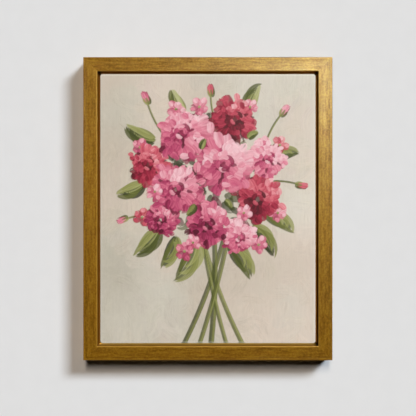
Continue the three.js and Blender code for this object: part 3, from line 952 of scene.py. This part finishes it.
def leaf(art, base, tip, width, value):
    """A pointed leaf: a shaded half, a lit half, and a pale vein dragged through both."""
    rng = art.rng
    ahead = tip - base
    left = np.array([-ahead[1], ahead[0]]) / np.linalg.norm(ahead)
    lit = 1 if left @ LIGHT > 0 else -1
    art.touch(base, base + ahead * 0.96, width * 0.62, GREENS, value - 0.16, 0.12, bow=LEAF_BOW, thick=0.08,
              wet=0.1, taper=(0.5, 0.75), dry=-0.1)
    for half in (-lit, lit):
        for k, (near, far, wide) in enumerate(((0.0, 0.8, 0.56), (0.18, 1.0, 0.46), (0.08, 0.66, 0.34))):
            a = base + ahead * near + left * half * width * 0.08
            b = base + ahead * far + left * half * width * 0.02
            own = rng.normal(value + (0.15 if half == lit else -0.17) + 0.04 * k, 0.07)
            bow = LEAF_BOW + half * (0.17 - 0.03 * k)
            art.touch(a, b, width * wide, GREENS, own, 0.09, bow=bow, wet=0.12, taper=(0.5, 0.7), dry=-0.1)
    art.touch(base, base + ahead * 0.9, width * 0.12, GREENS, value + 0.24, 0.1, bow=LEAF_BOW, thick=0.1,
              cover=0.8, wet=0.2, taper=(0.2, 0.5), dry=0.5)


def stem(art, foot, top, width, value, bow):
    """A stalk in one long touch, with a thinner, paler one down its lit side."""
    own = art.rng.normal(value, 0.04)
    art.touch(foot, top, width, GREENS, own + 0.06, -0.2, bow=bow, taper=(0.03, 0.04), dry=0.0)
    shift = np.array([width * 0.24, 0])
    art.touch(foot + shift, top + shift, width * 0.34, GREENS, own + 0.3, -0.1, bow=bow, thick=0.08,
              cover=0.75, taper=(0.05, 0.1), dry=0.3)


def bud(art, foot, tip, size, colours, value):
    """A closed bud on its stalk: three folded petals in a green cup."""
    stem(art, foot, tip, 2.0, 0.42, 0.05)
    heading = math.atan2(*(tip - foot)[::-1])
    ahead = unit(heading)
    left = unit(heading + math.pi / 2)
    for place, shade in ((-0.55, -0.2), (0.55, -0.04), (0.0, 0.12)):
        a = tip - ahead * size * 0.5 + left * place * size * 0.5
        b = tip + ahead * size * 0.95 + left * place * size * 0.45
        art.touch(a, b, size * 0.75, colours, value + shade, 0.14, bow=-0.2 * place, thick=0.15,
                  taper=(0.4, 0.5))
    for place, shade in ((-1, 0.32), (1, 0.62), (0, 0.48)):
        a = tip - ahead * size * 0.85 + left * place * size * 0.1
        b = tip + ahead * size * 0.2 + left * place * size * 0.34
        art.touch(a, b, size * 0.32, GREENS, shade, 0.14, bow=0.12 * place, thick=0.13, taper=(0.4, 0.7))


def shadows(art):
    """Dark touches behind the posy, mostly green."""
    rng = art.rng
    for _ in range(SHADOW_DABS):
        heading = rng.uniform(0, TURN)
        spot = SHADOW_CENTRE + unit(heading) * SHADOW_REACH * math.sqrt(rng.uniform(0, 1))
        away = unit(heading + rng.normal(0, 0.6)) * rng.uniform(4, 8)
        value = rng.uniform(0.0, 0.34)
        colours = GREENS if rng.random() < 0.7 else PINKS
        art.touch(spot - away, spot + away, rng.uniform(5, 8), colours, value, 0.12, bow=rng.normal(0, 0.1),
                  thick=0.07, wet=0.3)


def pale_rim(art):
    """The colour turns paler at the canvas's rim, towards the colour of the priming."""
    x, z = art.x[:, None], art.z[None, :]
    paleness = RIM_PALENESS * (1 - smooth(art.inward / RIM_WIDTH)) * (0.8 + 0.2 * noise(x / 9, z / 9, 41))
    art.colour += (linear(PRIMING_COLOUR) - art.colour) * paleness[..., None]


# A loose posy of round blooms, with small blossoms, leaves, buds and crossing stems, from back to front
POSY = (
    (stem, (
        ((-27, -136), (17, -20), 4.6, 0.34, -0.03), ((37, -136), (-8, -18), 4.8, 0.44, 0.03),
        ((2, -136), (6, -20), 5.2, 0.36, -0.02), ((20, -136), (-6, -20), 4.2, 0.5, 0.02),
        ((-11, -136), (20, -20), 4.4, 0.46, -0.02),
    )),
    (leaf, (
        ((-50, 64), (-78, 79), 13, 0.44), ((38, 92), (49, 117), 11, 0.52), ((56, 46), (86, 53), 11, 0.46),
        ((52, -2), (80, -22), 13, 0.5), ((-46, -18), (-70, -44), 13, 0.46), ((20, -34), (41, -66), 12, 0.44),
        ((-10, -30), (-31, -68), 12, 0.52), ((-60, 24), (-87, 14), 12, 0.5),
        ((-22, 92), (-34, 113), 10, 0.54), ((-30, -26), (-44, -56), 10, 0.36),
        ((42, -16), (63, -46), 10, 0.38),
    )),
    (bud, (
        ((-42, 70), (-58, 104), 7.5, PINKS, 0.52), ((6, 86), (3, 111), 7.0, WARMS, 0.46),
        ((56, 66), (72, 92), 7.5, PINKS, 0.6), ((62, 26), (88, 22), 7.0, WARMS, 0.48),
        ((-46, 4), (-80, -10), 6.5, PINKS, 0.52),
    )),
    (shadows, ((),)),
    (blossom, (
        ((-64, 58), 9, PINKS, 0.66), ((-30, 94), 9, PINKS, 0.72), ((40, 96), 8, PINKS, 0.64),
        ((68, 60), 9, WARMS, 0.6), ((66, -4), 9, PINKS, 0.7), ((-62, -8), 9, WARMS, 0.58),
        ((-22, -40), 9, PINKS, 0.62), ((48, -34), 9, PINKS, 0.68),
    )),
    (bloom, (
        ((24, 80), 22, WARMS, 0.44, (0.1, 0.2)),
        ((-52, 40), 20, WARMS, 0.5, (-0.2, 0.05)),
        ((-22, 68), 26, PINKS, 0.64, (-0.1, 0.14)),
        ((54, 46), 19, PINKS, 0.72, (0.2, 0.05)),
        ((-42, -8), 17, PINKS, 0.44, (-0.15, -0.15)),
        ((44, 10), 24, WARMS, 0.44, (0.15, -0.05)),
        ((-28, 18), 25, PINKS, 0.56, (-0.1, 0.0)),
        ((28, -24), 17, PINKS, 0.68, (0.1, -0.2)),
        ((0, -12), 22, PINKS, 0.46, (0.0, -0.16)),
        ((14, 40), 29, PINKS, 0.68, (0.05, 0.05)),
    )),
    (blossom, (
        ((-8, 96), 9, PINKS, 0.7), ((-50, 16), 8, PINKS, 0.74), ((34, -4), 8, PINKS, 0.78),
        ((-14, -32), 8, PINKS, 0.74),
    )),
    (leaf, (
        ((-6, 56), (-2, 66), 6, 0.4), ((-12, 4), (-20, -6), 7, 0.36), ((38, 66), (48, 72), 7, 0.5),
        ((16, 8), (22, 0), 6, 0.4),
    )),
)


def paint():
    art = Painting(PAINTING_SEED)
    scumble(art)
    for draw, places in POSY:
        for place in places:
            draw(art, *(np.array(part, float) if isinstance(part, tuple) else part for part in place))
    pale_rim(art)
    return art


def with_alpha(colour):
    flat = colour.reshape(-1, 3)
    return np.hstack([flat, np.ones((len(flat), 1))])


def paint_layer(art, material):
    """The paint as a fine relief over the canvas's flat front, in three bands."""
    gx, gz = np.meshgrid(art.x, art.z, indexing="ij")
    fade = smooth(art.inward / FADE_WIDTH)
    above = (PRIMING + art.height) * fade - DIP * (1 - smooth(art.inward / DIP_WIDTH))
    px, pz = rounded(gx, gz, FLAT_X, FLAT_Z, CANVAS_CORNER - CANVAS_EDGE)
    points = np.stack([px, CANVAS_FRONT - above, pz + CENTRE_Z], axis=2)
    cuts = np.linspace(0, len(art.z) - 1, 4).round().astype(int)
    for name, low, high in zip(("lower", "middle", "upper"), cuts, cuts[1:]):
        band = np.s_[:, low:high + 1]
        faces = grid_quads(numbered(art.height[band])).tolist()
        piece = add_piece(f"painting_{name}", points[band].reshape(-1, 3), faces, [material])
        add_values(piece, "pigment", with_alpha(art.colour[band]))
        add_values(piece, "brush", art.brush[band])
        add_values(piece, "impasto", art.height[band])


# ---- What the CAD model's own pieces are made of ----

PINE = ((236, 214, 174), (216, 184, 134))
OLD_PINE = ((196, 160, 112), (172, 130, 82))
GRAIN_ALONG = {"top": "x", "right": "z", "bottom": "x", "left": "z"}
RAIL_SEEDS = {"top": 11, "right": 21, "bottom": 31, "left": 41}


def dress(material, *starts):
    """Gives a material to every piece of the CAD model whose name starts in one of these ways."""
    for node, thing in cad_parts.items():
        if node.startswith(starts):
            thing.data.materials.clear()
            thing.data.materials.append(material)


# ---- Wall, floor, lights and camera ----

IMAGE = 416
PIXEL = 0.9417
CAMERA_DISTANCE = 1300.0
CAMERA_RIGHT = 0.15
CAMERA_UP = 0.7
LIGHT_METRES = 30.0
KEY_AIM = (0.572, 0.57)
KEY_SPREAD = (0.2, 0.135)
KEY_LEVEL = 0.64
KEY_COLOUR = (0.912, 1.0, 1.088)
ROOM = 6000
FLOOR = -1500


def stage_plane(name, corners, material):
    """A backdrop that neither shades nor lights the picture."""
    plane = new_mesh(name, corners, [(0, 1, 2, 3)], material)
    plane.visible_shadow = plane.visible_diffuse = plane.visible_glossy = False


def stage_wall():
    """A pale plaster wall that shows from the front only, so the picture's back can be seen too."""
    n = material_nodes("wall")
    colour = n.ramp(n.noise(n.place(), 60.0), (0.3, (223, 223, 223)), (0.7, (225, 225, 225)))
    plaster = n.add("BsdfPrincipled", Base_Color=colour, Roughness=0.95, Specular_IOR_Level=0.0)
    choose = n.add("MixShader", Fac=n.add("NewGeometry").outputs["Backfacing"])
    n.put(choose.inputs[1], plaster.outputs[0])
    n.put(choose.inputs[2], n.add("BsdfTransparent").outputs[0])
    corners = [(-ROOM, 0, FLOOR), (ROOM, 0, FLOOR), (ROOM, 0, ROOM), (-ROOM, 0, ROOM)]
    stage_plane("wall", corners, n.finish(choose))


def stage_floor():
    """A plain pale floor, far below."""
    n = material_nodes("floor")
    colour = n.ramp(n.noise(n.place(), 12.0), (0.3, (238, 237, 235)), (0.7, (243, 242, 240)))
    corners = [(-ROOM, -ROOM, FLOOR), (ROOM, -ROOM, FLOOR), (ROOM, ROOM, FLOOR), (-ROOM, ROOM, FLOOR)]
    stage_plane("floor", corners, n.surface(colour, 0.8))


def area_light(name, place, target, size, watts, colour=(1, 1, 1)):
    """A lamp that is placed and aimed from the frame's centre."""
    data = bpy.data.lights.new(name, "AREA")
    data.shape = "RECTANGLE"
    data.size, data.size_y = size
    data.energy, data.color = watts, colour
    lamp = new_object(name, data)
    lamp.location = Vector((0, 0, CENTRE_Z * MM)) + Vector(place)
    lamp.visible_camera = False
    lamp.rotation_euler = (Vector(target) - Vector(place)).to_track_quat("-Z", "Y").to_euler()
    return lamp


def soft_light(name, aim, spread, level, colour):
    """A far, broad light. Aim and spread are how far it leans and reaches per metre from the wall;
    level is the share of full daylight that it gives the wall, before its colour."""
    offset = LIGHT_METRES * Vector((aim[0], -1.0, aim[1]))
    lean = [math.cos(math.atan(tangent)) for tangent in aim]
    size = [2 * LIGHT_METRES * half * cosine for half, cosine in zip(spread, lean)]
    facing = LIGHT_METRES / offset.length
    watts = level * math.pi ** 2 * offset.length_squared / facing
    return area_light(name, offset, (0, 0, 0), size, watts, colour)


def light_only(lamp, things):
    group = bpy.data.collections.new(f"{lamp.name}_receivers")
    for thing in things:
        group.objects.link(thing)
    lamp.light_linking.receiver_collection = group


def lighting(rails):
    """A key from the upper right and a fill from above, as the shadows on the wall say. Sheen and gleam
    are near lamps that show only as reflections, and the rear lamp lights the back. The rails have
    their own key without a shadow, which reaches into the channel as bounced light does, and a faint
    bounce from below."""
    key = soft_light("key", KEY_AIM, KEY_SPREAD, KEY_LEVEL, KEY_COLOUR)
    rail_key = soft_light("rail_key", KEY_AIM, KEY_SPREAD, KEY_LEVEL * 0.95, KEY_COLOUR)
    bounce = soft_light("bounce", (-0.5, -1.6), (0.2, 0.2), 0.045, (1.1, 1.0, 0.8))
    fill = soft_light("fill", (0.0, 0.345), (0.06, 0.14), 0.37, (1.16, 1.0, 0.84))
    sheen = area_light("sheen", (0.172, -0.52, 0.215), (0.12, 0, 0.145), (0.16, 0.16), 0.59,
                       (0.83, 0.97, 0.77))
    gleam = area_light("gleam", (-0.165, -0.52, 0.085), (-0.12, 0, 0.06), (0.2, 0.2), 0.045,
                       (1.0, 0.8, 0.3))
    rear = area_light("rear", (-1.1, 1.6, 0.9), (0, 0, 0), (1.2, 1.2), 40)
    meshes = [thing for thing in bpy.context.scene.objects if thing.type == "MESH"]
    light_only(key, [thing for thing in meshes if thing not in rails])
    for lamp in (rail_key, bounce):
        light_only(lamp, rails)
        lamp.data.use_shadow = False
    for lamp in (key, rail_key, bounce, sheen, gleam):
        lamp.data.cycles.max_bounces = 0
    for lamp in (rail_key, bounce, fill, rear):
        lamp.visible_glossy = False
    for lamp in (sheen, gleam):
        lamp.visible_diffuse = False
        lamp.data.spread = math.radians(90)
        lamp.data.cycles.use_multiple_importance_sampling = False


def room():
    """A pale room, dim in front and brighter overhead and behind, that lights nothing: only the gilding
    and the metal reflect it."""
    world = bpy.data.worlds.new("room")
    bpy.context.scene.world = world
    world.cycles_visibility.diffuse = False
    n = Nodes(world)
    heading = n.add("SeparateXYZ", Vector=n.add("TexCoord").outputs["Generated"]).outputs
    behind = n.add("MapRange", Value=heading["Y"], From_Min=-1.0, From_Max=-0.2, To_Min=0.05, To_Max=0.42)
    around = n.plus(behind.outputs["Result"], n.times(heading["Z"], 0.16))
    ray = n.add("LightPath").outputs
    reflected = n.times(around, n.math("LESS_THAN", ray["Diffuse Depth"], 0.5))
    unseen = n.times(reflected, n.math("SUBTRACT", 1.0, ray["Is Camera Ray"]))
    strength = n.plus(n.times(ray["Is Camera Ray"], 0.8), unseen)
    background = n.add("Background", Strength=strength)
    background.inputs["Color"].default_value = (1.0, 0.98, 0.94, 1)
    n.finish(background, "OutputWorld")


def camera():
    data = bpy.data.cameras.new("camera")
    data.lens = data.sensor_width * CAMERA_DISTANCE / (IMAGE * PIXEL)
    eye = new_object("camera", data)
    place = (CAMERA_RIGHT * PIXEL, FRAME_LOW[1] - CAMERA_DISTANCE, CENTRE_Z + CAMERA_UP * PIXEL)
    eye.location = np.array(place) * MM
    eye.rotation_euler = (math.pi / 2, 0, 0)
    bpy.context.scene.camera = eye


def main():
    scene = bpy.context.scene
    scene.view_settings.view_transform = "Standard"
    scene.view_settings.look = "None"
    gilt, clay, oil = gilding(), bole(), oil_paint()
    backs = {axis: bare_wood(f"rail_back_{axis}", axis, *OLD_PINE) for axis in "xz"}
    rails = [rail(side, RAIL_SEEDS[side], gilt, backs[GRAIN_ALONG[side]], clay) for side in SIDES]
    art = paint()
    paint_layer(art, oil)
    canvas(art, oil, raw_canvas())
    dress(bare_wood("pine_across", "x", *PINE), "bar_top", "bar_bottom")
    dress(bare_wood("pine_upright", "z", *PINE), "bar_left", "bar_right")
    dress(zinc_steel("staple_wire", (214, 214, 216)), "staple_", "joint_staple_")
    dress(zinc_steel("zinc", (206, 204, 198)), "corner_nail_", "screw_", "hanger", "tack_")
    dress(soft_rubber(), "bumper_")
    stage_wall()
    stage_floor()
    lighting(rails)
    room()
    camera()


main()
